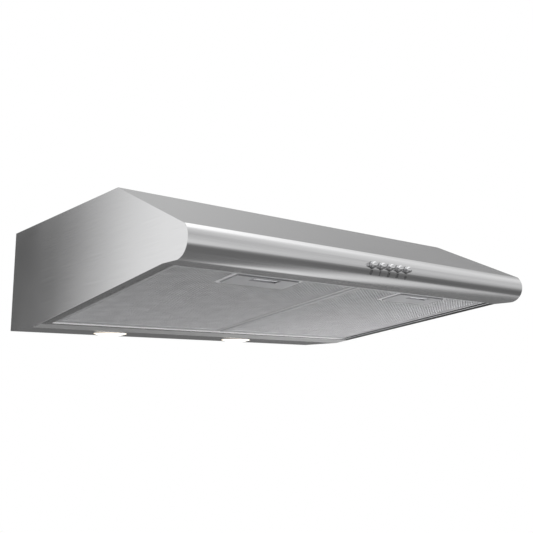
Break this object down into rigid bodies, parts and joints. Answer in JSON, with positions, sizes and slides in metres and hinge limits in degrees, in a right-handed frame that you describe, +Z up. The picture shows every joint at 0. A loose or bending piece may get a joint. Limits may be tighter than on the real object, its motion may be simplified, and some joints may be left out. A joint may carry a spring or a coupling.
{
  "type": "under-cabinet range hood",
  "caption": "Slim stainless under-cabinet range hood with a rounded nose, push buttons, lamps, tilting grease filters, blower and duct collar.",
  "frame": {"origin": "centre of the four cabinet screw holes, on the outer face of the roof", "axes": "+X to the right along the front as seen by the cook, -Y to the front, +Z up"},
  "size_m": [0.6, 0.503, 0.1873],
  "materials": {
    "brushed_stainless": "fine horizontal brushed grain, satin",
    "galvanised_steel": "zinc coated, faint spangle",
    "filter_aluminium": "bright rolled mesh",
    "latch_plate_aluminium": "satin pressed plate",
    "latch_plastic": "matte moulded, mid grey",
    "spring_steel": "drawn wire",
    "chrome_trim": "polished",
    "lamp_glass": "frosted",
    "lamp_reflector": "satin reflector",
    "black_plastic": "fine moulded texture",
    "grey_plastic": "moulded, slightly glossy",
    "motor_steel": "plated pressing",
    "bush_bronze": "sintered",
    "copper_winding": "enamelled wire on laminations",
    "mount_rubber": "soft, matte",
    "capacitor_white": "moulded can",
    "loom_sleeve": "braided sleeve",
    "zinc_screws": "zinc plated"
  },
  "bodies": {
    "canopy": {"blower_housing_lower": "grey_plastic", "blower_housing_upper": "grey_plastic", "button_springs": "spring_steel", "cable_gland": "black_plastic", "capacitor_clip": "galvanised_steel", "collar_screws": "zinc_screws", "damper_pin": "galvanised_steel", "filter_hinge_rod": "galvanised_steel", "front_fascia": "brushed_stainless", "front_rail": "galvanised_steel", "lamp_bezel_left": "chrome_trim", "lamp_bezel_right": "chrome_trim", "lamp_bulb_left": "lamp_glass", "lamp_bulb_right": "lamp_glass", "lamp_housing_left": "lamp_reflector", "lamp_housing_right": "lamp_reflector", "lamp_lens_left": "lamp_glass", "lamp_lens_right": "lamp_glass", "lamp_panel": "brushed_stainless", "left_side_panel": "brushed_stainless", "motor_bracket": "galvanised_steel", "motor_bushes": "bush_bronze", "motor_housing": "motor_steel", "motor_mounts": "mount_rubber", "motor_screws": "zinc_screws", "motor_stator": "copper_winding", "outlet_collar": "black_plastic", "rear_panel": "galvanised_steel", "right_side_panel": "brushed_stainless", "roof_panel": "brushed_stainless", "run_capacitor": "capacitor_white", "switch_block": "black_plastic", "switch_screws": "zinc_screws", "terminal_box": "grey_plastic", "terminal_box_cover": "grey_plastic", "wiring_loom": "loom_sleeve"},
    "fan": {"impeller": "grey_plastic", "impeller_blades": "grey_plastic", "motor_rotor": "motor_steel", "motor_shaft": "motor_steel"},
    "flap_front": {"damper_flap_front": "black_plastic"},
    "flap_rear": {"damper_flap_rear": "black_plastic"},
    "filter_left": {"filter_frame_left": "filter_aluminium", "filter_face_mesh_left": "filter_aluminium", "filter_core_mesh_left": "filter_aluminium", "latch_plate_left": "latch_plate_aluminium", "latch_spring_left": "spring_steel"},
    "tongue_left": {"latch_left": "latch_plastic"},
    "filter_right": {"filter_frame_right": "filter_aluminium", "filter_face_mesh_right": "filter_aluminium", "filter_core_mesh_right": "filter_aluminium", "latch_plate_right": "latch_plate_aluminium", "latch_spring_right": "spring_steel"},
    "tongue_right": {"latch_right": "latch_plastic"},
    "push_off": {"button_off": "chrome_trim"},
    "push_speed_1": {"button_speed_1": "chrome_trim"},
    "push_speed_2": {"button_speed_2": "chrome_trim"},
    "push_speed_3": {"button_speed_3": "chrome_trim"},
    "push_lamp": {"button_lamp": "chrome_trim"}
  },
  "joints": [
    {"name": "fan_spin", "type": "hinge", "parent": "canopy", "child": "fan", "pos_m": [0.11, -0.026, -0.05], "axis": [0, 0, 1], "continuous": true},
    {"name": "flap_front_swing", "type": "hinge", "parent": "canopy", "child": "flap_front", "pos_m": [0, 0.075, -0.002], "axis": [-1, 0, 0], "range_deg": [0, 75]},
    {"name": "flap_rear_swing", "type": "hinge", "parent": "canopy", "child": "flap_rear", "pos_m": [0, 0.075, -0.002], "axis": [1, 0, 0], "range_deg": [0, 75]},
    {"name": "filter_left_tilt", "type": "hinge", "parent": "canopy", "child": "filter_left", "pos_m": [0, 0.04515, -0.13987], "axis": [1, 0, 0], "range_deg": [0, 75]},
    {"name": "latch_left_pull", "type": "slide", "parent": "filter_left", "child": "tongue_left", "axis": [0, 0.9922, -0.1246], "range_m": [0, 0.005], "stiffness_N_per_m": 250, "deforming": ["latch_spring_left"]},
    {"name": "filter_right_tilt", "type": "hinge", "parent": "canopy", "child": "filter_right", "pos_m": [0, 0.04515, -0.13987], "axis": [1, 0, 0], "range_deg": [0, 75]},
    {"name": "latch_right_pull", "type": "slide", "parent": "filter_right", "child": "tongue_right", "axis": [0, 0.9922, -0.1246], "range_m": [0, 0.005], "stiffness_N_per_m": 250, "deforming": ["latch_spring_right"]},
    {"name": "button_off_press", "type": "slide", "parent": "canopy", "child": "push_off", "axis": [0, 1, 0], "range_m": [0, 0.003], "stiffness_N_per_m": 500, "deforming": ["button_springs"]},
    {"name": "button_speed_1_press", "type": "slide", "parent": "canopy", "child": "push_speed_1", "axis": [0, 1, 0], "range_m": [0, 0.003], "stiffness_N_per_m": 500, "deforming": ["button_springs"]},
    {"name": "button_speed_2_press", "type": "slide", "parent": "canopy", "child": "push_speed_2", "axis": [0, 1, 0], "range_m": [0, 0.003], "stiffness_N_per_m": 500, "deforming": ["button_springs"]},
    {"name": "button_speed_3_press", "type": "slide", "parent": "canopy", "child": "push_speed_3", "axis": [0, 1, 0], "range_m": [0, 0.003], "stiffness_N_per_m": 500, "deforming": ["button_springs"]},
    {"name": "button_lamp_press", "type": "slide", "parent": "canopy", "child": "push_lamp", "axis": [0, 1, 0], "range_m": [0, 0.003], "stiffness_N_per_m": 500, "deforming": ["button_springs"]}
  ]
}
